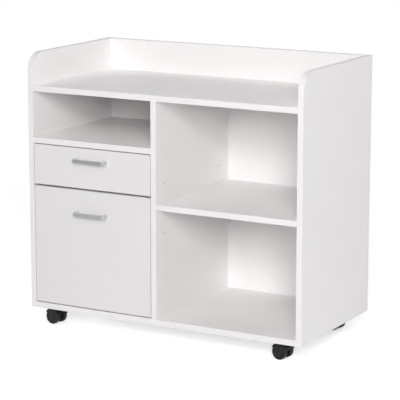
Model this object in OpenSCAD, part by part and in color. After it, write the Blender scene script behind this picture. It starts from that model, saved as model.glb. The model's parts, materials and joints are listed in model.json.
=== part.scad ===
// Rolling office cabinet: two drawers and a compartment on the left, two compartments on the right,
// a worktop sunk between the raised side panels and a gallery rail, on four swivel casters.
// Lengths are in millimetres. The floor is z = 0, the front faces -Y, and X runs to the right.

/* [Cabinet] */
// Width over the side panels
cabinet_w = 800; // [700:5:1000]
// Depth of the side panels, from front edge to back edge
cabinet_d = 400; // [380:5:500]
// Height of the side panels, without the casters
side_h = 680; // [600:5:850]
// Thickness of the melamine boards
board_t = 15; // [15:0.5:19]
// Depth of the worktop surface below the top edge of the side panels
rim_h = 84; // [50:1:110]
// Radius of the upper front corner of each side panel
corner_r = 50; // [20:1:75]
// Clear width of the drawer bay
drawer_bay_w = 357; // [280:1:430]
// Clear height of the drawer bay, from the bottom panel to the fixed shelf
drawer_bay_h = 430; // [380:1:460]
// Height of the adjustable shelf's underside above the bottom panel
open_shelf_h = 287; // [220:1:340]
// Play at each end of the adjustable shelf
shelf_play = 0.5; // [0.5:0.1:2]
// Gap behind the adjustable shelf
shelf_rear_gap = 1; // [0.5:0.5:5]

/* [Back panel] */
// Thickness of the hardboard back
back_t = 3; // [2.5:0.5:5]
// Distance of the back panel's groove from the back edge of the boards
back_inset = 12; // [8:1:20]
// Depth of the grooves that hold the back panel
back_groove = 6; // [4:0.5:8]

/* [Drawers] */
// Height of the lower drawer front
lower_front_h = 313.5; // [250:0.5:320]
// Gap under the lower drawer front
front_gap_bottom = 3; // [2:0.5:5]
// Gap between the two drawer fronts
front_gap_middle = 5; // [2:0.5:6]
// Gap above the upper drawer front
front_gap_top = 2.5; // [1.5:0.5:5]
// Gap at each side of the drawer fronts
front_gap_side = 2; // [1.5:0.5:3]
// Thickness of the drawer box boards
box_t = 12; // [12:0.5:15]
// Length of the drawer box behind its front
box_d = 350; // [300:5:360]
// Height of the upper drawer box
upper_box_h = 80; // [75:1:85]
// Height of the lower drawer box
lower_box_h = 240; // [150:1:250]
// Height of a drawer box's lower edge above the lower edge of its front
box_lift = 10; // [6:1:14]
// Thickness of the drawer bottoms
drawer_bottom_t = 3; // [2.5:0.5:5]
// Depth of the grooves that hold the drawer bottoms
bottom_groove = 5; // [3:0.5:6]
// Height of a drawer bottom above the lower edge of its box
bottom_lift = 10; // [8:1:14]

/* [Runners] */
// Space between the drawer box and the bay wall
runner_space = 12.7; // [12.5:0.1:13.5]
// Thickness of the runner steel
runner_t = 1.2; // [1:0.1:1.5]
// Length of the runners
runner_l = 350; // [290:5:350]
// Radius of the front rollers, which the drawer rails run on
front_roller_r = 9; // [8.5:0.1:9.5]
// Radius of the rear rollers, which run inside the cabinet rails
rear_roller_r = 7.5; // [7:0.1:7.8]

/* [Handles] */
// Length of a handle over its legs
handle_l = 96; // [80:1:160]
// Height of the handle bar
handle_h = 8; // [8:0.5:14]
// Reach of a handle in front of the drawer front
handle_reach = 22; // [18:1:35]
// Depth of the handle bar
handle_bar_t = 8; // [5:0.5:10]
// Width of each handle leg
handle_leg_w = 10; // [9:0.5:14]
// Outer corner radius of a handle
handle_corner_r = 6; // [2:0.5:8]
// Drop of the upper handle's centre below the top of its front
upper_handle_drop = 31; // [20:1:50]
// Drop of the lower handle's centre below the top of its front
lower_handle_drop = 61; // [20:1:120]

/* [Casters] */
// Overall height of a caster
caster_h = 50; // [48:1:60]
// Radius of the wheels
wheel_r = 20; // [18:0.5:21]
// Width of each wheel
wheel_w = 12; // [10:0.5:14]
// Clear space between the two wheels of a caster
wheel_gap = 15.6; // [15:0.2:20]
// Distance from the swivel axis to the wheel axle
caster_trail = 13; // [8:0.5:18]
// Side of the square mounting plate
plate_w = 42; // [40:1:50]
// Thickness of the mounting plate
plate_t = 2; // [1.5:0.5:3]
// Distance of the swivel axes from the sides of the cabinet
caster_inset_x = 60; // [45:1:80]
// Distance of the swivel axes from the front and back edges
caster_inset_y = 45; // [42:1:80]

/* [Hidden] */
$fn = 48;
fine_fn = 96;
// Pieces that fill a hole or a groove stand this far off its wall
fit_gap = 0.05;
// Room between pieces that move past each other
run_gap = 0.3;
// Length added to a cutter so that it passes through a face
over = 1;

DRAWERS = ["upper", "lower"];
CASTERS = ["front_left", "front_right", "rear_left", "rear_right"];
DRAWER_PIECES = ["front", "left_side", "right_side", "back", "bottom", "handle", "left_runner",
    "right_runner", "screws", "cam_fittings"];
CASTER_PIECES = ["hood", "axle", "left_wheel", "right_wheel"];

// Cabinet frame: x from the left side, y from the front edge, z from the lower edge of the sides
front_y = (handle_reach - cabinet_d) / 2;
inner_w = cabinet_w - 2 * board_t;
divider_x = board_t + drawer_bay_w;
open_bay_x = divider_x + board_t;
open_bay_w = cabinet_w - board_t - open_bay_x;
shelf_z = board_t + drawer_bay_h;
worktop_z = side_h - rim_h - board_t;
worktop_top = side_h - rim_h;
open_shelf_z = board_t + open_shelf_h;
back_y = cabinet_d - back_inset - back_t;
rail_front_y = cabinet_d - board_t;

// Connectors
cam_r = 7.5;
cam_floor = 2.5;
cam_play = 0.5;
cam_reach = 24;
cam_slot_h = 6.6;
bolt_r = 2.5;
bolt_depth = 11;
bolt_head_r = 3.1;
bolt_head_l = 3;
dowel_r = 4;
dowel_depth = 10;
dowel_reach = 20;
dowel_inset = 0.5;
fitting_front_y = 50;
fitting_rear_y = cabinet_d - 60;
// A dowel stands this far behind each front cam lock
dowel_step = 64;
// The cross on the face of a cam lock
cross_l = 8;
cross_w = 1.2;
// Shelf pins
pin_r = 2.5;
pin_depth = 10;
pin_reach = 8;
pin_step = 64;
pin_front_y = 44;
pin_rear_inset = 52;
pin_rows_y = [pin_front_y, back_y - pin_rear_inset];
pin_heights = [for (i = [-1:1]) open_shelf_z - pin_r + i * pin_step];

// Drawer places
bay_centre_x = board_t + drawer_bay_w / 2;
front_w = drawer_bay_w - 2 * front_gap_side;
lower_front_z = board_t + front_gap_bottom;
upper_front_z = lower_front_z + lower_front_h + front_gap_middle;
upper_front_h = shelf_z - front_gap_top - upper_front_z;
box_w = drawer_bay_w - 2 * runner_space;
box_x = board_t + runner_space;
back_board_y = board_t + box_d - box_t;
// Fittings in the drawer sides stand this far above the lower edge and below the upper edge
side_fitting_low = 36;
side_fitting_drop = 18;

// Runner profile, from the bay wall and the lower edge of the drawer box
rail_y = board_t + 3;
channel_setback = 22;
channel_w = 9.9;
channel_low = 2;
rear_axle_z = channel_low + runner_t + run_gap + rear_roller_r;
channel_h = 2 * (runner_t + run_gap + rear_roller_r);
track_z = 21.5;
front_axle_z = track_z - run_gap - front_roller_r;
track_in = 3.5;
drawer_web_h = 24;
roller_x = 3.9;
roller_w = 5.5;
rivet_r = 2.5;
rivet_head_r = 4;
rivet_head_t = 0.8;
roller_offset = 10;
rear_roller_y = board_t + runner_l - roller_offset;
runner_screw_ys = [60, 200, 330];

// Screws: radius, length, and the radius and height of the head
back_screw_r = 1.5;
back_screw_depth = 14;
back_screw_head = [3, 1.6];
runner_screw_r = 1.6;
runner_screw_l = 12;
runner_screw_head = [3.2, 1.2];
rail_screw_r = 1.5;
rail_screw_l = 10;
rail_screw_head = [2.8, 1.2];
side_screw_r = 2;
side_screw_l = 30;
side_screw_head = [3.5, 1.5];
handle_screw_r = 2;
handle_screw_bite = 8;
handle_screw_head = [4, 2.2];
handle_hole_at = (handle_l - handle_leg_w) / 2;
caster_screw_r = 1.75;
caster_screw_depth = 12;
caster_screw_head = [3.6, 1.8];
caster_screw_tip = 0.5;

// Casters: the swivel stem, the guard over the wheels, the web between them and the wheel's section
axle_z = wheel_r;
axle_r = 3;
axle_play = 0.06;
axle_boss = 2.5;
stem_r = 4;
stem_play = 0.05;
stem_low_z = 28;
stem_l = caster_h - plate_t - stem_low_z;
socket_floor = 4;
socket_inset = 0.6;
collar_r = 12;
collar_h = 10;
guard_t = 2.3;
guard_gap = 1.2;
guard_inset = 0.8;
guard_r = wheel_r + guard_gap;
guard_w = 2 * wheel_w + wheel_gap - 2 * guard_inset;
guard_start = 25;
guard_sweep = 140;
web_w = 9;
web_r = 12;
web_overlap = 2;
hub_gap = 0.4;
hub_w = wheel_gap - 2 * hub_gap;
swivel_gap = 0.4;
wheel_cap = 2;
wheel_bore_l = wheel_w - wheel_cap;
tread_r = 2;
rim_t = 4;
wheel_hub_r = 7;
inner_recess = 4;
outer_recess = 1.2;
wheel_room = 2;
plate_hole_inset = 6;
plate_hole_at = plate_w / 2 - plate_hole_inset;
plate_clearance = 20;
caster_yaws = [170, 172, 250, 171];
caster_xs = [caster_inset_x, cabinet_w - caster_inset_x, caster_inset_x, cabinet_w - caster_inset_x];
caster_ys = [caster_inset_y, caster_inset_y, cabinet_d - caster_inset_y, cabinet_d - caster_inset_y];

// Where two boards meet: the point on the joint plane, and the turn that points +X into the board
// that holds the cam lock, with the cam lock opening towards -Z
function ends_of(x_left, x_right, y, z) = [
    [[x_left, y, z], [0, 0, 0]],
    [[x_right, y, z], [0, 0, 180]]];
function rail_ends(y, z) = [
    [[board_t, y, z], [90, 0, 0]],
    [[cabinet_w - board_t, y, z], [-90, 0, 180]]];
function divider_ends(y) = [
    [[divider_x + board_t / 2, y, worktop_z], [0, 90, 0]],
    [[divider_x + board_t / 2, y, board_t], [180, -90, 0]]];
function board_ends(y) = concat(
    ends_of(board_t, cabinet_w - board_t, y, worktop_z + board_t / 2),
    ends_of(board_t, divider_x, y, shelf_z + board_t / 2),
    divider_ends(y));
// The fittings of the bottom panel stand clear of the caster plates
function bottom_ends(y) = ends_of(board_t, cabinet_w - board_t, y, board_t / 2);
bottom_fitting_y = caster_inset_y + plate_w / 2 + plate_clearance;
rail_cam_z = worktop_top + rim_h / 3;
rail_dowel_z = worktop_top + 2 * rim_h / 3;
rail_y_mid = cabinet_d - board_t / 2;
cam_places = concat(
    board_ends(fitting_front_y),
    board_ends(fitting_rear_y),
    bottom_ends(bottom_fitting_y),
    bottom_ends(cabinet_d - bottom_fitting_y),
    rail_ends(rail_y_mid, rail_cam_z));
dowel_places = concat(
    board_ends(fitting_front_y + dowel_step),
    bottom_ends(bottom_fitting_y + dowel_step),
    rail_ends(rail_y_mid, rail_dowel_z));

// ---- Shared shapes ----

module placed() {
    translate([-cabinet_w / 2, front_y, caster_h]) children();
}

module at(place) {
    translate(place[0]) rotate(place[1]) children();
}

// A cylinder along +X
module rod(r, l, fn = $fn) {
    rotate([0, 90, 0]) cylinder(r = r, h = l, $fn = fn);
}

// A pan-head screw with its head on z = 0 and its shank towards -Z
module screw(r, l, head) {
    head_r = head[0];
    head_h = head[1];
    slot_w = head_r / 3;
    slot_l = 1.3 * head_r;
    difference() {
        union() {
            translate([0, 0, -l]) cylinder(r = r, h = l, $fn = 24);
            cylinder(r = head_r, h = head_h, $fn = 32);
        }
        for (a = [0, 90]) {
            rotate([0, 0, a]) translate([-slot_l / 2, -slot_w / 2, head_h / 2]) {
                cube([slot_l, slot_w, head_h]);
            }
        }
    }
}

module cam_cutter(t) {
    translate([cam_reach, 0, -t / 2 - over]) cylinder(r = cam_r, h = t - cam_floor + over);
    translate([-bolt_depth, 0, 0]) rod(bolt_r, bolt_depth + cam_reach);
}

module cam_lock(t) {
    lock_h = t - cam_floor - cam_play;
    slot = 2 * cam_r;
    translate([cam_reach, 0, 0]) difference() {
        translate([0, 0, -t / 2]) cylinder(r = cam_r - fit_gap, h = lock_h);
        translate([-slot, -cam_slot_h / 2, -cam_slot_h / 2]) {
            cube([slot + bolt_head_r + run_gap, cam_slot_h, cam_slot_h]);
        }
        for (a = [0, 90]) {
            rotate([0, 0, a]) translate([-cross_l / 2, -cross_w / 2, -t / 2 - over]) {
                cube([cross_l, cross_w, over + cross_w]);
            }
        }
    }
}

module cam_bolt() {
    neck = cam_reach - bolt_head_l / 2;
    translate([-bolt_depth, 0, 0]) rod(bolt_r - fit_gap, bolt_depth + neck);
    translate([neck, 0, 0]) rod(bolt_head_r, bolt_head_l);
}

module dowel_cutter() {
    translate([-dowel_depth, 0, 0]) rod(dowel_r, dowel_depth + dowel_reach);
}

module dowel() {
    translate([dowel_inset - dowel_depth, 0, 0]) {
        rod(dowel_r - fit_gap, dowel_depth + dowel_reach - 2 * dowel_inset);
    }
}

module connector_cutters() {
    for (p = cam_places) at(p) cam_cutter(board_t);
    for (p = dowel_places) at(p) dowel_cutter();
}

module back_cutter() {
    translate([board_t - back_groove, back_y, board_t - back_groove]) {
        cube([inner_w + 2 * back_groove, back_t, worktop_z - board_t + 2 * back_groove]);
    }
}

// ---- Boards ----

module side_outline() {
    square([cabinet_d, side_h - corner_r]);
    translate([corner_r, 0]) square([cabinet_d - corner_r, side_h]);
    translate([corner_r, side_h - corner_r]) circle(r = corner_r, $fn = fine_fn);
}

module side_board(x) {
    color("white") difference() {
        translate([x, 0, 0]) rotate([90, 0, 90]) linear_extrude(board_t) side_outline();
        connector_cutters();
        back_cutter();
        children();
    }
}

module left_side_panel() {
    side_board(0) runner_screw_holes();
}

module right_side_panel() {
    side_board(cabinet_w - board_t) shelf_pin_holes();
}

module worktop() {
    color("white") difference() {
        translate([board_t, 0, worktop_z]) cube([inner_w, rail_front_y, board_t]);
        connector_cutters();
    }
}

module bottom_panel() {
    color("white") difference() {
        translate([board_t, 0, 0]) cube([inner_w, cabinet_d, board_t]);
        connector_cutters();
        back_cutter();
        each_plate_screw() caster_screw_hole();
    }
}

module divider() {
    color("white") difference() {
        translate([divider_x, 0, board_t]) cube([board_t, back_y, worktop_z - board_t]);
        connector_cutters();
        runner_screw_holes();
        shelf_pin_holes();
        back_screw_holes();
    }
}

module fixed_shelf() {
    color("white") difference() {
        translate([board_t, 0, shelf_z]) cube([drawer_bay_w, back_y, board_t]);
        connector_cutters();
        back_screw_holes();
    }
}

module adjustable_shelf() {
    color("white") translate([open_bay_x + shelf_play, 0, open_shelf_z]) {
        cube([open_bay_w - 2 * shelf_play, back_y - shelf_rear_gap, board_t]);
    }
}

// The rail stands behind the worktop, and its foot holds the upper edge of the back panel
module gallery_rail() {
    color("white") difference() {
        translate([board_t, rail_front_y, worktop_z]) cube([inner_w, board_t, rim_h + board_t]);
        connector_cutters();
        back_cutter();
    }
}

module back_panel() {
    color("white") difference() {
        translate([board_t - back_groove + fit_gap, back_y, board_t - back_groove + fit_gap]) {
            cube([inner_w + 2 * (back_groove - fit_gap), back_t,
                worktop_z - board_t + 2 * (back_groove - fit_gap)]);
        }
        back_screw_holes();
    }
}

// ---- Fasteners of the cabinet ----

module cam_locks() {
    color("silver") for (p = cam_places) at(p) cam_lock(board_t);
}

module cam_bolts() {
    color("silver") for (p = cam_places) at(p) cam_bolt();
}

module dowels() {
    color("burlywood") for (p = dowel_places) at(p) dowel();
}

module each_shelf_pin(heights) {
    for (y = pin_rows_y) for (z = heights) {
        translate([open_bay_x, y, z]) children();
        translate([cabinet_w - board_t, y, z]) rotate([0, 0, 180]) children();
    }
}

module shelf_pin_holes() {
    each_shelf_pin(pin_heights) translate([-pin_depth, 0, 0]) rod(pin_r, pin_depth + over);
}

module shelf_pins() {
    color("silver") each_shelf_pin([pin_heights[1]]) {
        translate([-pin_depth, 0, 0]) rod(pin_r - fit_gap, pin_depth + pin_reach);
    }
}

// Screws through the hardboard into the rear edges of the divider and the fixed shelf
module each_back_screw() {
    divider_rows = 5;
    shelf_rows = 3;
    for (i = [1:divider_rows]) {
        z = board_t + (worktop_z - board_t) * i / (divider_rows + 1);
        translate([divider_x + board_t / 2, back_y + back_t, z]) rotate([-90, 0, 0]) children();
    }
    for (i = [1:shelf_rows]) {
        x = board_t + drawer_bay_w * i / (shelf_rows + 1);
        translate([x, back_y + back_t, shelf_z + board_t / 2]) rotate([-90, 0, 0]) children();
    }
}

module back_screw_holes() {
    length = back_t + back_screw_depth;
    each_back_screw() translate([0, 0, -length]) cylinder(r = back_screw_r, h = length + over);
}

module back_panel_screws() {
    color("silver") each_back_screw() {
        screw(back_screw_r - fit_gap, back_t + back_screw_depth, back_screw_head);
    }
}

// ---- Runners, drawn for the left wall of the bay ----

module mirrored_side() {
    translate([2 * bay_centre_x, 0, 0]) mirror([1, 0, 0]) children();
}

module both_sides() {
    children();
    mirrored_side() children();
}

function drawer_z(name) = name == "upper" ? upper_front_z : lower_front_z;
function drawer_front_h(name) = name == "upper" ? upper_front_h : lower_front_h;
function drawer_box_h(name) = name == "upper" ? upper_box_h : lower_box_h;
function handle_drop(name) = name == "upper" ? upper_handle_drop : lower_handle_drop;
function handle_z(name) = drawer_z(name) + drawer_front_h(name) - handle_drop(name);
function box_z(name) = drawer_z(name) + box_lift;
function side_fitting_heights(name) = [side_fitting_low, drawer_box_h(name) - side_fitting_drop];

// Origin on the bay wall, level with the lower edge of the drawer box
module runner_frame(name) {
    translate([board_t, 0, box_z(name)]) children();
}

module each_runner_screw() {
    for (name = DRAWERS) both_sides() runner_frame(name) {
        for (y = runner_screw_ys) translate([runner_t, y, rear_axle_z]) rotate([0, 90, 0]) children();
    }
}

module runner_screw_holes() {
    each_runner_screw() translate([0, 0, -runner_screw_l]) {
        cylinder(r = runner_screw_r, h = runner_screw_l + over, $fn = 24);
    }
}

module runner_screws() {
    color("silver") each_runner_screw() {
        screw(runner_screw_r - fit_gap, runner_screw_l, runner_screw_head);
    }
}

module cabinet_runners(name) {
    channel_l = runner_l - channel_setback;
    color("whitesmoke") difference() {
        both_sides() runner_frame(name) translate([0, rail_y, 0]) {
            translate([0, 0, channel_low]) cube([runner_t, runner_l, channel_h]);
            for (z = [channel_low, channel_low + channel_h - runner_t]) {
                translate([0, channel_setback, z]) cube([channel_w, channel_l, runner_t]);
            }
            translate([0, roller_offset, front_axle_z]) {
                rod(rivet_r, roller_x + roller_w + run_gap + rivet_head_t);
                rod(rivet_head_r, roller_x - run_gap);
                translate([roller_x + roller_w + run_gap, 0, 0]) rod(rivet_head_r, rivet_head_t);
            }
        }
        runner_screw_holes();
    }
}

module roller(r) {
    color("white") difference() {
        translate([roller_x, 0, 0]) rod(r, roller_w, fine_fn);
        translate([roller_x - over, 0, 0]) rod(rivet_r + axle_play, roller_w + 2 * over);
    }
}

module front_rollers(name) {
    both_sides() runner_frame(name) translate([0, rail_y + roller_offset, front_axle_z]) {
        roller(front_roller_r);
    }
}

module rear_rollers(name) {
    both_sides() runner_frame(name) translate([0, rear_roller_y, rear_axle_z]) roller(rear_roller_r);
}

module drawer_runner(name) {
    web_x = runner_space - runner_t;
    color("whitesmoke") difference() {
        runner_frame(name) translate([0, board_t, 0]) {
            translate([web_x, 0, -runner_t]) cube([runner_t, runner_l, drawer_web_h]);
            translate([web_x, 0, -runner_t]) cube([runner_t + box_t, runner_l, runner_t]);
            translate([track_in, 0, track_z]) cube([runner_space - track_in, runner_l, runner_t]);
            translate([0, runner_l - roller_offset, rear_axle_z]) {
                translate([roller_x - run_gap - rivet_head_t, 0, 0]) {
                    rod(rivet_head_r, rivet_head_t);
                    rod(rivet_r, runner_space - roller_x + run_gap + rivet_head_t);
                }
                translate([roller_x + roller_w + run_gap, 0, 0]) {
                    rod(rivet_head_r, web_x - roller_x - roller_w - run_gap);
                }
            }
        }
        rail_screw_holes(name);
    }
}

// ---- Drawers ----

module each_rail_screw(name) {
    for (y = runner_screw_ys) {
        translate([box_x + box_t / 2, y, box_z(name) - runner_t]) rotate([180, 0, 0]) children();
    }
}

module rail_screw_holes(name) {
    each_rail_screw(name) translate([0, 0, -rail_screw_l]) {
        cylinder(r = rail_screw_r, h = rail_screw_l + over, $fn = 24);
    }
}

// Screws through a drawer side into the end of the drawer's back
module each_side_screw(name) {
    for (z = side_fitting_heights(name)) {
        translate([box_x, back_board_y + box_t / 2, box_z(name) + z]) {
            rotate([0, -90, 0]) children();
        }
    }
}

module side_screw_holes(name) {
    each_side_screw(name) translate([0, 0, -side_screw_l]) {
        cylinder(r = side_screw_r, h = side_screw_l + over, $fn = 24);
    }
}

module each_handle_screw(name) {
    for (side = [-1, 1]) {
        translate([bay_centre_x + side * handle_hole_at, board_t, handle_z(name)]) {
            rotate([-90, 0, 0]) children();
        }
    }
}

module handle_screw_holes(name) {
    length = board_t + handle_screw_bite;
    each_handle_screw(name) translate([0, 0, -length]) {
        cylinder(r = handle_screw_r, h = length + over, $fn = 24);
    }
}

// Cam fittings join a drawer side to the back of the drawer front
function drawer_cam_places(name) = [
    for (z = side_fitting_heights(name))
        [[box_x + box_t / 2, board_t, box_z(name) + z], [90, 0, 90]]];

module drawer_cam_cutters(name) {
    both_sides() for (p = drawer_cam_places(name)) at(p) cam_cutter(box_t);
}

module drawer_cam_fittings(name) {
    color("silver") both_sides() for (p = drawer_cam_places(name)) at(p) {
        cam_lock(box_t);
        cam_bolt();
    }
}

module drawer_bottom_sheet(name, play) {
    inner_x = box_x + box_t - bottom_groove + play;
    front_edge = board_t - bottom_groove + play;
    width = box_w - 2 * (box_t - bottom_groove + play);
    length = back_board_y + bottom_groove - play - front_edge;
    translate([inner_x, front_edge, box_z(name) + bottom_lift]) cube([width, length, drawer_bottom_t]);
}

module drawer_front(name) {
    color("white") difference() {
        translate([board_t + front_gap_side, 0, drawer_z(name)]) {
            cube([front_w, board_t, drawer_front_h(name)]);
        }
        drawer_bottom_sheet(name, 0);
        drawer_cam_cutters(name);
        handle_screw_holes(name);
    }
}

module drawer_side(name) {
    color("white") difference() {
        translate([box_x, board_t, box_z(name)]) cube([box_t, box_d, drawer_box_h(name)]);
        drawer_bottom_sheet(name, 0);
        drawer_cam_cutters(name);
        side_screw_holes(name);
        rail_screw_holes(name);
    }
}

module drawer_back(name) {
    color("white") difference() {
        translate([box_x + box_t, back_board_y, box_z(name)]) {
            cube([box_w - 2 * box_t, box_t, drawer_box_h(name)]);
        }
        drawer_bottom_sheet(name, 0);
        both_sides() side_screw_holes(name);
    }
}

module drawer_bottom(name) {
    color("white") drawer_bottom_sheet(name, fit_gap);
}

module drawer_screws(name) {
    color("silver") both_sides() {
        each_rail_screw(name) screw(rail_screw_r - fit_gap, rail_screw_l, rail_screw_head);
        each_side_screw(name) screw(side_screw_r - fit_gap, side_screw_l, side_screw_head);
    }
    color("silver") each_handle_screw(name) {
        screw(handle_screw_r - fit_gap, board_t + handle_screw_bite, handle_screw_head);
    }
}

// A rounded bar outline with square corners on the side that meets the drawer front
module bow_outline(w, d, r) {
    translate([-w / 2, r - d]) square([w, d - r]);
    translate([r - w / 2, -d]) square([w - 2 * r, d]);
    for (side = [-1, 1]) translate([side * (w / 2 - r), r - d]) circle(r = r);
}

module drawer_handle(name) {
    inner_r = max(handle_corner_r - handle_bar_t / 2, 1);
    color("darkgray") difference() {
        translate([bay_centre_x, 0, handle_z(name) - handle_h / 2]) linear_extrude(handle_h) {
            difference() {
                bow_outline(handle_l, handle_reach, handle_corner_r);
                translate([0, over]) {
                    bow_outline(handle_l - 2 * handle_leg_w, handle_reach - handle_bar_t + over, inner_r);
                }
            }
        }
        handle_screw_holes(name);
    }
}

// ---- Casters, drawn with the swivel axis on Z and the wheels towards +X ----

module caster_frame(i) {
    translate([caster_xs[i], caster_ys[i], -caster_h]) rotate([0, 0, caster_yaws[i]]) children();
}

// The plates stay square to the cabinet
module each_plate() {
    for (i = [0:3]) translate([caster_xs[i], caster_ys[i], 0]) children();
}

module each_plate_screw() {
    each_plate() for (x = [-plate_hole_at, plate_hole_at]) for (y = [-plate_hole_at, plate_hole_at]) {
        translate([x, y, -plate_t]) rotate([180, 0, 0]) children();
    }
}

module caster_screw_hole() {
    length = plate_t + caster_screw_depth;
    translate([0, 0, -length]) cylinder(r = caster_screw_r, h = length + over, $fn = 24);
}

module caster_plates() {
    color("silver") difference() {
        each_plate() {
            translate([-plate_w / 2, -plate_w / 2, -plate_t]) cube([plate_w, plate_w, plate_t]);
            translate([0, 0, -plate_t - stem_l]) cylinder(r = stem_r, h = stem_l + plate_t);
        }
        each_plate_screw() caster_screw_hole();
    }
}

module caster_screws() {
    color("silver") each_plate_screw() {
        screw(caster_screw_r - fit_gap, plate_t + caster_screw_depth - caster_screw_tip, caster_screw_head);
    }
}

// A disc or tube around the wheel axle, centred on the middle of the caster
module on_axle(r, w, fn = fine_fn) {
    translate([caster_trail, w / 2, axle_z]) rotate([90, 0, 0]) cylinder(r = r, h = w, $fn = fn);
}

module guard_arc(r_in, r_out, w) {
    translate([caster_trail, w / 2, axle_z]) rotate([90, 0, 0]) rotate([0, 0, guard_start]) {
        rotate_extrude(angle = guard_sweep, $fn = fine_fn) {
            translate([r_in, 0]) square([r_out - r_in, w]);
        }
    }
}

module hood() {
    socket_top = caster_h - plate_t - swivel_gap;
    socket_low = stem_low_z - socket_floor;
    socket_r = wheel_gap / 2 - socket_inset;
    color("dimgray") difference() {
        union() {
            guard_arc(guard_r, guard_r + guard_t, guard_w);
            guard_arc(web_r - web_overlap, guard_r + guard_t / 2, web_w);
            on_axle(web_r, web_w);
            on_axle(axle_r + axle_boss, hub_w);
            translate([0, 0, socket_low]) cylinder(r = socket_r, h = socket_top - socket_low);
            translate([0, 0, socket_top - collar_h]) cylinder(r = collar_r, h = collar_h, $fn = fine_fn);
        }
        for (side = [0, 180]) translate([caster_trail, 0, axle_z]) rotate([90, 0, side]) {
            translate([0, 0, hub_w / 2]) cylinder(r = guard_r, h = wheel_w + wheel_room, $fn = fine_fn);
        }
        translate([0, 0, socket_top - stem_l]) cylinder(r = stem_r + stem_play, h = stem_l + over);
        on_axle(axle_r + fit_gap / 2, hub_w + over, $fn);
    }
}

module axle() {
    color("silver") on_axle(axle_r, wheel_gap + 2 * (wheel_bore_l - swivel_gap), $fn);
}

// Half of a wheel's section: x is the radius and y runs from the inner face to the outer face
module wheel_section() {
    rim_w = wheel_r - rim_t - wheel_hub_r;
    difference() {
        union() {
            square([wheel_r - tread_r, wheel_w]);
            translate([0, tread_r]) square([wheel_r, wheel_w - 2 * tread_r]);
            for (y = [tread_r, wheel_w - tread_r]) translate([wheel_r - tread_r, y]) circle(r = tread_r);
        }
        translate([0, -over]) square([axle_r + axle_play, wheel_bore_l + over]);
        translate([wheel_hub_r, -over]) square([rim_w, inner_recess + over]);
        translate([wheel_hub_r, wheel_w - outer_recess]) square([rim_w, outer_recess + over]);
    }
}

// side is -1 for the wheel on the left of the caster seen from behind it, and 1 for the other
module wheel(side) {
    color("black") translate([caster_trail, side * wheel_gap / 2, axle_z]) {
        rotate([-90 * side, 0, 0]) rotate_extrude($fn = fine_fn) wheel_section();
    }
}

// ---- Assembly ----

placed() left_side_panel();
placed() right_side_panel();
placed() worktop();
placed() bottom_panel();
placed() divider();
placed() fixed_shelf();
placed() adjustable_shelf();
placed() gallery_rail();
placed() back_panel();
placed() cam_locks();
placed() cam_bolts();
placed() dowels();
placed() shelf_pins();
placed() back_panel_screws();
placed() caster_plates();
placed() caster_screws();
placed() runner_screws();
for (d = DRAWERS) {
    placed() cabinet_runners(d);
    placed() front_rollers(d);
    placed() rear_rollers(d);
    placed() drawer_front(d);
    placed() drawer_side(d);
    placed() mirrored_side() drawer_side(d);
    placed() drawer_back(d);
    placed() drawer_bottom(d);
    placed() drawer_handle(d);
    placed() drawer_runner(d);
    placed() mirrored_side() drawer_runner(d);
    placed() drawer_screws(d);
    placed() drawer_cam_fittings(d);
}
for (i = [0:3]) {
    placed() caster_frame(i) hood();
    placed() caster_frame(i) axle();
    union() {
        placed() caster_frame(i) wheel(-1);
    }
    union() {
        placed() caster_frame(i) wheel(1);
    }
}
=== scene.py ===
"""Looks of the rolling office cabinet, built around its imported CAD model. Lengths are in metres."""
import json
import math

import bpy
from mathutils import Euler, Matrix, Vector


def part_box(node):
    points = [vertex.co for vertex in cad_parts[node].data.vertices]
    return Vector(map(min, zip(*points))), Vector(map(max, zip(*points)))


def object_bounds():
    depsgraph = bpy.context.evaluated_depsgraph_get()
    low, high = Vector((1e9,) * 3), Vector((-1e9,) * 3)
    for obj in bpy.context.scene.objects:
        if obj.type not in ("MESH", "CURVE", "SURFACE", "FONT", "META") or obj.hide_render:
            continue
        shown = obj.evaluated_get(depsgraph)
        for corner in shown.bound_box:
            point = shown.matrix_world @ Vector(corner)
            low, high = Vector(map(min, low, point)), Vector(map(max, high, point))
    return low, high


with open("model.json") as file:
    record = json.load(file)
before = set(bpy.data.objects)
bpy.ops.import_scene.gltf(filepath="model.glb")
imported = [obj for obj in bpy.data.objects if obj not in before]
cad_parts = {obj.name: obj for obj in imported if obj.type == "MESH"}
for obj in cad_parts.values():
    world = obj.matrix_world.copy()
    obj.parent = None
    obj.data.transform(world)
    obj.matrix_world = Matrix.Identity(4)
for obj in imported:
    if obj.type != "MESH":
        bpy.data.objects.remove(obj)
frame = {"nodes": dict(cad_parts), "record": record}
CAD_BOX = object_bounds()
NODES = frame["nodes"]
SLOT_OF = {part["node"]: part["material_slot"] for part in frame["record"]["subparts"]}
JOINTS = {joint["name"]: joint for joint in frame["record"]["behaviour"]["joints"]}
X, Y, Z = range(3)

# ---- Camera: the viewing angle of the reference view ----
CAMERA_PLACE = (2.306, -4.093, 1.325)
CAMERA_YAW = math.radians(29.3)
CAMERA_PITCH = math.radians(11.77)
CAMERA_LENS = 164.6
SENSOR = 36.0

# ---- Finish of the boards, with painted light and shade in some of their whites ----
SKIN = 0.00045
BAND = 0.001
GLUE_LINE = 0.00012
# Width over which a face's look turns into that of the edge banding
EDGE_SEAM = 0.0002
CORNER_RADIUS = 0.05
# Pitch of the screen pattern on the back of hardboard
SCREEN_PITCH = 0.0016
BOARD_TONE = 0.88
# Boards whose white carries painted light and shade: the worktop is painted lighter, and the gallery rail
# and the drawer fronts are painted darker, though all are the same white board
BOARD_TONES_WITH_PAINTED_LIGHT_AND_SHADE = {
    "worktop": 0.92,
    "gallery_rail": 0.84,
    "upper_drawer_front": 0.715,
    "lower_drawer_front": 0.705,
}
# White of the edge banding, painted darker than the board faces: painted shade for the edges, above all
# the up-facing top edges
BAND_TONE_WITH_PAINTED_SHADE = 0.77
HARDBOARD_TONE = 0.88
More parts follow.
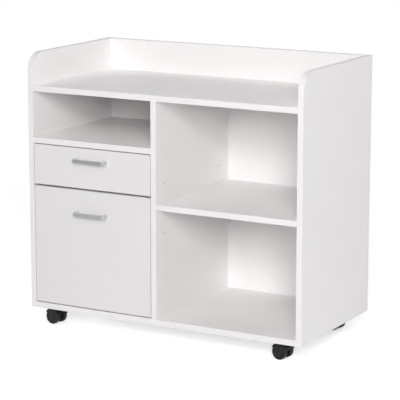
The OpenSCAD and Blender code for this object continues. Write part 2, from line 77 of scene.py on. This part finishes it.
# How much darker the clouds in a white face are
CLOUDED = 0.985
LINE_TONE = 0.3
CORE_DARK = (0.36, 0.24, 0.13, 1)
CORE_LIGHT = (0.74, 0.58, 0.38, 1)
CORE_GLUE = (0.55, 0.42, 0.27, 1)
# Edges that carry edge banding; a side panel's front and top run round its corner
BANDED_EDGES = {
    "left_side_panel": ("corner",),
    "right_side_panel": ("corner",),
    "gallery_rail": ("top",),
    "drawer_front": ("left", "right", "bottom", "top"),
    "drawer_left_side": ("top",),
    "drawer_right_side": ("top",),
    "drawer_back": ("top",),
}
DEFAULT_BANDED = ("front",)


def add_camera():
    data = bpy.data.cameras.new("camera")
    data.lens = CAMERA_LENS
    data.sensor_width = SENSOR
    camera = bpy.data.objects.new("camera", data)
    camera.location = CAMERA_PLACE
    camera.rotation_euler = Euler((math.pi / 2 - CAMERA_PITCH, 0, CAMERA_YAW))
    bpy.context.scene.collection.objects.link(camera)
    bpy.context.scene.camera = camera


# ---- Shader helpers ----

# The range that holds most of a noise texture's values
USUAL_NOISE = (0.3, 0.7)


class Graph:
    """A node tree, and short calls that add nodes to it."""

    def __init__(self, tree):
        self.tree = tree

    def add(self, kind, **settings):
        node = self.tree.nodes.new(kind)
        for key, value in settings.items():
            setattr(node, key, value)
        return node

    def link(self, source, target):
        self.tree.links.new(source, target)

    def feed(self, value, socket):
        if isinstance(value, bpy.types.NodeSocket):
            self.link(value, socket)
        else:
            socket.default_value = value

    def math(self, operation, a, b=None):
        node = self.add("ShaderNodeMath", operation=operation)
        self.feed(a, node.inputs[0])
        if b is not None:
            self.feed(b, node.inputs[1])
        return node.outputs[0]

    def vector(self, operation, a, b=None):
        node = self.add("ShaderNodeVectorMath", operation=operation)
        self.feed(a, node.inputs[0])
        if b is not None:
            self.feed(b, node.inputs[1])
        return node.outputs["Value" if operation in ("LENGTH", "DOT_PRODUCT") else "Vector"]

    def split(self, vector):
        node = self.add("ShaderNodeSeparateXYZ")
        self.link(vector, node.inputs[0])
        return list(node.outputs)

    def least(self, values):
        result = values[0]
        for value in values[1:]:
            result = self.math("MINIMUM", result, value)
        return result

    def ramp(self, value, start, end, low=0.0, high=1.0):
        """The number low up to start, high from end on, and a smooth step between them."""
        node = self.add("ShaderNodeMapRange", interpolation_type="SMOOTHSTEP")
        self.feed(value, node.inputs["Value"])
        node.inputs["From Min"].default_value = start
        node.inputs["From Max"].default_value = end
        node.inputs["To Min"].default_value = low
        node.inputs["To Max"].default_value = high
        return node.outputs["Result"]

    def mix(self, factor, a, b):
        """The colour a at factor 0, b at factor 1."""
        node = self.add("ShaderNodeMix", data_type="RGBA")
        self.feed(factor, node.inputs["Factor"])
        self.feed(a, node.inputs[6])
        self.feed(b, node.inputs[7])
        return node.outputs[2]

    def blend(self, factor, a, b):
        """The number a at factor 0, b at factor 1."""
        node = self.add("ShaderNodeMix", data_type="FLOAT")
        self.feed(factor, node.inputs["Factor"])
        self.feed(a, node.inputs[2])
        self.feed(b, node.inputs[3])
        return node.outputs[0]


class Shader(Graph):
    """A material with its Principled shader."""

    def __init__(self, name):
        self.material = bpy.data.materials.new(name)
        self.material.use_nodes = True
        super().__init__(self.material.node_tree)
        self.bsdf = self.tree.nodes["Principled BSDF"]
        self.coords = self.add("ShaderNodeTexCoord").outputs["Object"]

    def stretched(self, scale):
        return self.vector("MULTIPLY", self.coords, scale)

    def noise(self, scale, detail, roughness=0.5, coords=None):
        """Noise of about scale clouds to a metre."""
        node = self.add("ShaderNodeTexNoise")
        node.inputs["Scale"].default_value = scale
        node.inputs["Detail"].default_value = detail
        node.inputs["Roughness"].default_value = roughness
        self.link(coords or self.coords, node.inputs["Vector"])
        return node.outputs["Fac"]

    def clouds(self, scale, detail, low=0.0, high=1.0):
        """Noise whose usual values are spread from low to high."""
        return self.ramp(self.noise(scale, detail), *USUAL_NOISE, low, high)

    def cells(self, scale, coords):
        node = self.add("ShaderNodeTexVoronoi")
        node.inputs["Scale"].default_value = scale
        self.link(coords, node.inputs["Vector"])
        return self.split(node.outputs["Color"])[0]

    def bump(self, height, strength, distance, under=None):
        node = self.add("ShaderNodeBump")
        self.feed(strength, node.inputs["Strength"])
        node.inputs["Distance"].default_value = distance
        self.link(height, node.inputs["Height"])
        if under is not None:
            self.link(under, node.inputs["Normal"])
        return node.outputs["Normal"]

    def finish(self, colour, roughness, normal):
        self.link(colour, self.bsdf.inputs["Base Color"])
        self.link(roughness, self.bsdf.inputs["Roughness"])
        self.link(normal, self.bsdf.inputs["Normal"])
        return self.material


def grey(value):
    return (value, value, value, 1)


def white(tone):
    """The faintly warm white of the boards."""
    return (tone, tone * 0.975, tone * 0.973, 1)


# ---- Boards: melamine faces, edge banding with its joint line, and a chipboard core in every hole ----

def box_of(name):
    low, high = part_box(name)
    return Vector(low), Vector(high)


def depth_under_faces(s, name):
    """How deep a point lies under the two broad faces, and how far inside the outline."""
    low, high = box_of(name)
    thin = min(range(3), key=lambda axis: high[axis] - low[axis])
    offset = s.vector("ABSOLUTE", s.vector("SUBTRACT", s.coords, tuple((low + high) / 2)))
    depths = s.split(s.vector("SUBTRACT", tuple((high - low) / 2), offset))
    inward = s.least([depths[axis] for axis in range(3) if axis != thin])
    if name.endswith("side_panel"):
        inward = s.math("MINIMUM", inward, corner_depth(s, low, high))
    return depths[thin], inward


def corner_depth(s, low, high):
    """How far a point lies inside the front and top edges of a side panel and the arc between them."""
    place = s.split(s.coords)
    ahead = s.math("MAXIMUM", s.math("SUBTRACT", low[Y] + CORNER_RADIUS, place[Y]), 0.0)
    above = s.math("MAXIMUM", s.math("SUBTRACT", place[Z], high[Z] - CORNER_RADIUS), 0.0)
    square = s.math("ADD", s.math("POWER", ahead, 2.0), s.math("POWER", above, 2.0))
    return s.math("SUBTRACT", CORNER_RADIUS, s.math("SQRT", square))


def banding_depth(s, name):
    """How far a point lies from the nearest edge that carries edge banding."""
    low, high = box_of(name)
    place = s.split(s.coords)
    edges = {
        "front": lambda: s.math("SUBTRACT", place[Y], low[Y]),
        "left": lambda: s.math("SUBTRACT", place[X], low[X]),
        "right": lambda: s.math("SUBTRACT", high[X], place[X]),
        "bottom": lambda: s.math("SUBTRACT", place[Z], low[Z]),
        "top": lambda: s.math("SUBTRACT", high[Z], place[Z]),
        "corner": lambda: corner_depth(s, low, high),
    }
    kind = name.replace("upper_", "").replace("lower_", "")
    return s.least([edges[edge]() for edge in BANDED_EDGES.get(kind, DEFAULT_BANDED)])


def chipboard(s):
    """Colour of the core: pressed flakes in glue."""
    flakes = s.cells(700, s.stretched((1, 1, 1.7)))
    return s.mix(s.noise(2400, 2), s.mix(flakes, CORE_DARK, CORE_LIGHT), CORE_GLUE)


def board(name, tone):
    s = Shader(name)
    across, inward = depth_under_faces(s, name)
    core = s.ramp(s.math("MINIMUM", across, inward), SKIN, 1.3 * SKIN)
    edge = s.ramp(s.math("SUBTRACT", across, inward), 0.0, EDGE_SEAM)
    from_line = s.math("ABSOLUTE", s.math("SUBTRACT", banding_depth(s, name), BAND))
    on_face = s.math("SUBTRACT", 1.0, edge)
    line = s.math("MULTIPLY", s.ramp(from_line, GLUE_LINE, 2.5 * GLUE_LINE, 0.3, 0.0), on_face)

    face = s.mix(s.clouds(7, 3), white(tone * CLOUDED), white(tone))
    # The edge banding takes a white painted darker than the faces, a painted shade
    skin = s.mix(line, s.mix(edge, face, white(BAND_TONE_WITH_PAINTED_SHADE)), grey(LINE_TONE))
    colour = s.mix(core, skin, chipboard(s))

    satin = s.clouds(55, 2, 0.38, 0.46)
    roughness = s.blend(core, s.blend(edge, satin, 0.34), 0.9)
    pearl = s.bump(s.noise(1500, 2), s.blend(edge, 0.22, 0.08), 0.00004)
    pressed = s.bump(s.noise(900, 3), s.blend(core, 0.0, 0.8), 0.0004, pearl)
    return s.finish(colour, roughness, pressed)


def hardboard(name, tone):
    """White lacquer on the front or top; the other face keeps the screen pattern of the press."""
    s = Shader(name)
    low, high = box_of(name)
    thin = min(range(3), key=lambda axis: high[axis] - low[axis])
    rear = s.math("SUBTRACT", s.split(s.coords)[thin], (low[thin] + high[thin]) / 2)
    if thin == Z:
        rear = s.math("MULTIPLY", rear, -1.0)
    behind = s.ramp(rear, -0.0002, 0.0002)
    waves = [
        s.math("SINE", s.math("MULTIPLY", s.split(s.coords)[axis], 2 * math.pi / SCREEN_PITCH))
        for axis in range(3) if axis != thin
    ]
    screen = s.math("MULTIPLY", s.math("MULTIPLY", waves[0], waves[1]), behind)

    face = s.mix(s.clouds(6, 3), white(tone * CLOUDED), white(tone))
    colour = s.mix(s.math("MULTIPLY", behind, 0.5), face, white(tone * 0.9))
    roughness = s.blend(behind, s.clouds(40, 2, 0.36, 0.44), 0.62)
    lacquer = s.bump(s.noise(1100, 2), 0.15, 0.00005)
    return s.finish(colour, roughness, s.bump(screen, 0.5, 0.0001, lacquer))


# ---- Metals ----

def brushed_metal(name, tone, tint, roughness, brushing):
    """Metal with fine scratches; brushing stretches them along the axis with the smallest number."""
    s = Shader(name)
    s.bsdf.inputs["Metallic"].default_value = 1.0
    scratches = s.noise(1, 3, 0.6, s.stretched(brushing))
    wear = s.math("ADD", s.math("MULTIPLY", s.noise(90, 2), 0.4), s.math("MULTIPLY", scratches, 0.6))
    light = tuple(tone * part for part in tint) + (1,)
    dark = tuple(tone * 0.88 * part for part in tint) + (1,)
    colour = s.mix(s.ramp(wear, 0.35, 0.65), dark, light)
    gloss = s.ramp(scratches, *USUAL_NOISE, roughness - 0.04, roughness + 0.06)
    return s.finish(colour, gloss, s.bump(scratches, 0.18, 0.00008))


def white_enamel(name, tone):
    """Baked coating on steel, with a light orange peel."""
    s = Shader(name)
    colour = s.mix(s.clouds(25, 2), white(tone * 0.96), white(tone))
    peel = s.bump(s.noise(650, 2), 0.35, 0.00012)
    return s.finish(colour, s.clouds(200, 2, 0.28, 0.36), peel)


# ---- Plastics and wood ----

NYLON_DARK = (0.74, 0.73, 0.69, 1)
NYLON_LIGHT = (0.80, 0.79, 0.76, 1)
NYLON_DEPTH = (0.002, 0.0017, 0.0014)
BEECH_DARK = (0.45, 0.27, 0.13, 1)
BEECH_LIGHT = (0.66, 0.45, 0.26, 1)
BLACK_TONE = 0.009
# Specular IOR Level of the black plastics
BLACK_SPECULAR = 0.25
# Where a wheel's disc turns into its tread, measured in from the running surface
TREAD_START = 0.0022
TREAD_END = 0.0012


def nylon(name):
    s = Shader(name)
    s.bsdf.inputs["Subsurface Weight"].default_value = 0.2
    s.bsdf.inputs["Subsurface Radius"].default_value = NYLON_DEPTH
    colour = s.mix(s.clouds(150, 2), NYLON_DARK, NYLON_LIGHT)
    return s.finish(colour, s.clouds(400, 2, 0.36, 0.44), s.bump(s.noise(1800, 2), 0.1, 0.0001))


def black_moulding(name, tone):
    """Spark-textured black plastic."""
    s = Shader(name)
    s.bsdf.inputs["Specular IOR Level"].default_value = BLACK_SPECULAR
    colour = s.mix(s.clouds(140, 3), grey(tone * 0.8), grey(tone * 1.15))
    grain = s.bump(s.noise(2600, 3), 0.3, 0.00008)
    return s.finish(colour, s.clouds(300, 2, 0.40, 0.50), grain)


def wheel_plastic(name, tone):
    """A wheel: a glossier disc and a duller tread, told apart by the distance from its axle."""
    s = Shader(name)
    s.bsdf.inputs["Specular IOR Level"].default_value = BLACK_SPECULAR
    joint = JOINTS[name.replace("_caster", "") + "_spin"]
    arm = s.vector("SUBTRACT", s.coords, tuple(joint["pos_m"]))
    radius = s.vector("LENGTH", s.vector("CROSS_PRODUCT", arm, tuple(joint["axis"])))
    low, high = box_of(name)
    wheel_radius = (high[Z] - low[Z]) / 2
    tread = s.ramp(radius, wheel_radius - TREAD_START, wheel_radius - TREAD_END)
    disc = s.mix(s.clouds(140, 3), grey(tone * 0.8), grey(tone * 1.1))
    colour = s.mix(tread, disc, grey(tone * 1.5))
    roughness = s.blend(tread, s.clouds(300, 2, 0.34, 0.42), 0.55)
    grain = s.bump(s.noise(2200, 3), s.blend(tread, 0.12, 0.4), 0.00008)
    return s.finish(colour, roughness, grain)


def beech(name):
    s = Shader(name)
    grain = s.noise(1, 4, 0.6, s.stretched((80, 900, 900)))
    colour = s.mix(grain, BEECH_DARK, BEECH_LIGHT)
    return s.finish(colour, s.ramp(grain, *USUAL_NOISE, 0.5, 0.65), s.bump(grain, 0.3, 0.0002))


NEUTRAL = (1.0, 1.0, 1.0)
BLUISH = (0.97, 0.985, 1.0)
LONG_SCRATCHES = (30, 2600, 2600)
SHORT_SCRATCHES = (700, 700, 700)


def dress_nodes():
    """One material for each board and wheel, and one for all pieces of any other slot."""
    shared = {
        "satin_metal": brushed_metal("satin_metal", 0.70, NEUTRAL, 0.34, LONG_SCRATCHES),
        "zinc_steel": brushed_metal("zinc_steel", 0.66, BLUISH, 0.30, SHORT_SCRATCHES),
        "white_steel": white_enamel("white_steel", 0.80),
        "roller_plastic": nylon("roller_plastic"),
        "beech": beech("beech"),
        "black_plastic": black_moulding("black_plastic", BLACK_TONE),
    }
    for name, node in NODES.items():
        slot = SLOT_OF[name]
        if slot == "white_board":
            # The worktop takes a white painted lighter, the gallery rail and the drawer fronts a white
            # painted darker: painted light and shade
            material = board(name, BOARD_TONES_WITH_PAINTED_LIGHT_AND_SHADE.get(name, BOARD_TONE))
        elif slot == "white_hardboard":
            material = hardboard(name, HARDBOARD_TONE)
        elif slot == "wheel_plastic":
            material = wheel_plastic(name, BLACK_TONE)
        else:
            material = shared[slot]
        node.data.materials.clear()
        node.data.materials.append(material)


# ---- Small round edges and smooth curved faces on every CAD piece ----

EDGE_ROUNDING = {
    "white_board": 0.0006,
    "white_hardboard": 0.0003,
    "satin_metal": 0.0007,
    "zinc_steel": 0.0002,
    "white_steel": 0.0003,
    "roller_plastic": 0.0004,
    "beech": 0.0004,
    "black_plastic": 0.0003,
    "wheel_plastic": 0.0004,
}
# Slots whose small steps would otherwise clamp every rounding to nothing
ROUNDED_IN_FULL = ("black_plastic", "white_steel")
ROUNDED_OVER = math.radians(50)
ROUNDING_STEPS = 2
# Points of the CAD mesh closer than this are one, and faces within this angle are one plane
SAME_POINT = 1e-5
SAME_PLANE = math.radians(0.5)
# Closes the places where two roundings meet in a point
SAME_CORNER = 4e-6


def smoothing_group():
    """Geometry nodes that shade faces smooth and keep edges sharp above the limit angle."""
    group = bpy.data.node_groups.new("smooth_by_angle", "GeometryNodeTree")
    group.interface.new_socket("Geometry", in_out="INPUT", socket_type="NodeSocketGeometry")
    group.interface.new_socket("Geometry", in_out="OUTPUT", socket_type="NodeSocketGeometry")
    start = group.nodes.new("NodeGroupInput")
    end = group.nodes.new("NodeGroupOutput")
    faces = group.nodes.new("GeometryNodeSetShadeSmooth")
    edges = group.nodes.new("GeometryNodeSetShadeSmooth")
    edges.domain = "EDGE"
    angle = group.nodes.new("GeometryNodeInputMeshEdgeAngle")
    sharp = group.nodes.new("FunctionNodeCompare")
    sharp.inputs["B"].default_value = ROUNDED_OVER
    edges.inputs["Shade Smooth"].default_value = False
    group.links.new(start.outputs[0], faces.inputs["Geometry"])
    group.links.new(faces.outputs[0], edges.inputs["Geometry"])
    group.links.new(angle.outputs["Unsigned Angle"], sharp.inputs["A"])
    group.links.new(sharp.outputs[0], edges.inputs["Selection"])
    group.links.new(edges.outputs[0], end.inputs[0])
    return group


def soften_edges():
    """Modifiers that round each piece's sharp edges and shade its curved faces smooth."""
    smoothing = smoothing_group()
    for name, node in NODES.items():
        weld = node.modifiers.new("weld", "WELD")
        weld.merge_threshold = SAME_POINT
        flat = node.modifiers.new("flat", "DECIMATE")
        flat.decimate_type = "DISSOLVE"
        flat.angle_limit = SAME_PLANE
        bevel = node.modifiers.new("bevel", "BEVEL")
        bevel.width = EDGE_ROUNDING[SLOT_OF[name]]
        bevel.use_clamp_overlap = SLOT_OF[name] not in ROUNDED_IN_FULL
        bevel.segments = ROUNDING_STEPS
        bevel.limit_method = "ANGLE"
        bevel.angle_limit = ROUNDED_OVER
        seam = node.modifiers.new("seam", "WELD")
        seam.merge_threshold = SAME_CORNER
        smooth = node.modifiers.new("smooth", "NODES")
        smooth.node_group = smoothing
        weighted = node.modifiers.new("weighted", "WEIGHTED_NORMAL")
        weighted.keep_sharp = True


# ---- Stage and light ----

# What glossy rays see of the white studio ahead of the cabinet
UNLIT_SIDE = 0.33
WORLD_FILL = 0.02
# White that camera and glossy rays see added to the near floor
FLOOR_LIFT = 0.5
# Distances between which the floor turns into the white backdrop
WHITE_FROM, WHITE_AT = 1.2, 2.4
# Azimuth, elevation, distance, size and power of each lamp
SOFTBOXES = {
    "key": (29, 20, 6.0, 1.8, 266),
    "fill": (0, 45, 5.0, 3.0, 52),
    "side": (95, 20, 4.0, 2.0, 26),
    "back": (180, 6, 5.0, 1.6, 110),
    "left": (270, 8, 5.0, 1.6, 100),
    "top": (0, 89, 2.6, 2.4, 8),
}


def add_softbox(name, azimuth, elevation, distance, size, power):
    """A square lamp that looks at the middle of the cabinet. Azimuth 0 is in front, 90 on the right."""
    low, high = CAD_BOX
    aim = (Vector(low) + Vector(high)) / 2
    turn, rise = math.radians(azimuth), math.radians(elevation)
    away = Vector((math.sin(turn) * math.cos(rise), -math.cos(turn) * math.cos(rise), math.sin(rise)))
    data = bpy.data.lights.new(name, "AREA")
    data.shape = "SQUARE"
    data.size = size
    data.energy = power
    lamp = bpy.data.objects.new(name, data)
    lamp.location = aim + away * distance
    lamp.rotation_euler = away.to_track_quat("Z", "Y").to_euler()
    bpy.context.scene.collection.objects.link(lamp)


def backdrop(graph, ahead):
    """Whether a ray shows the white backdrop, and how bright the backdrop is to it.

    Camera, glossy and transmission rays show it. ahead is 1 where it lies in front of the cabinet:
    there glossy rays find the unlit side of the studio."""
    rays = graph.add("ShaderNodeLightPath").outputs
    seen = graph.math("MAXIMUM", rays["Is Camera Ray"], rays["Is Glossy Ray"])
    seen = graph.math("MAXIMUM", seen, rays["Is Transmission Ray"])
    unlit = graph.math("MULTIPLY", graph.math("MULTIPLY", rays["Is Glossy Ray"], ahead), 1 - UNLIT_SIDE)
    return seen, graph.math("SUBTRACT", 1.0, unlit)


def add_world():
    world = bpy.data.worlds.new("studio")
    bpy.context.scene.world = world
    world.use_nodes = True
    graph = Graph(world.node_tree)
    direction = graph.add("ShaderNodeTexCoord").outputs["Generated"]
    seen, white_level = backdrop(graph, graph.ramp(graph.split(direction)[Y], -0.1, -0.5))
    shade = graph.tree.nodes["Background"]
    shade.inputs["Color"].default_value = grey(1)
    graph.link(graph.blend(seen, WORLD_FILL, white_level), shade.inputs["Strength"])


def add_floor():
    """A wide pale floor with the cabinet's shadow, white to camera and glossy rays further away."""
    bpy.ops.mesh.primitive_plane_add(size=60, location=(0, 0, 0))
    floor = bpy.context.object
    floor.name = "floor"
    s = Shader("floor")
    s.bsdf.inputs["Specular IOR Level"].default_value = 0.1
    colour = s.mix(s.noise(3, 2), grey(0.84), grey(0.86))
    s.finish(colour, s.clouds(30, 2, 0.85, 0.95), s.bump(s.noise(200, 2), 0.05, 0.0005))
    seen, white_level = backdrop(s, s.ramp(s.split(s.coords)[Y], -0.4, -0.9))
    glow = s.add("ShaderNodeEmission")
    s.link(s.math("MULTIPLY", s.math("MULTIPLY", seen, FLOOR_LIFT), white_level), glow.inputs["Strength"])
    near = s.add("ShaderNodeAddShader")
    s.link(s.bsdf.outputs[0], near.inputs[0])
    s.link(glow.outputs[0], near.inputs[1])
    far = s.add("ShaderNodeEmission")
    s.link(white_level, far.inputs["Strength"])
    away = s.ramp(s.vector("LENGTH", s.coords), WHITE_FROM, WHITE_AT)
    both = s.add("ShaderNodeMixShader")
    s.link(s.math("MULTIPLY", seen, away), both.inputs[0])
    s.link(near.outputs[0], both.inputs[1])
    s.link(far.outputs[0], both.inputs[2])
    s.link(both.outputs[0], s.tree.nodes["Material Output"].inputs["Surface"])
    floor.data.materials.append(s.material)


add_camera()
dress_nodes()
soften_edges()
add_world()
for name, place_and_power in SOFTBOXES.items():
    add_softbox(name, *place_and_power)
add_floor()

bpy.context.scene.view_settings.view_transform = "Standard"
bpy.context.view_layer.update()
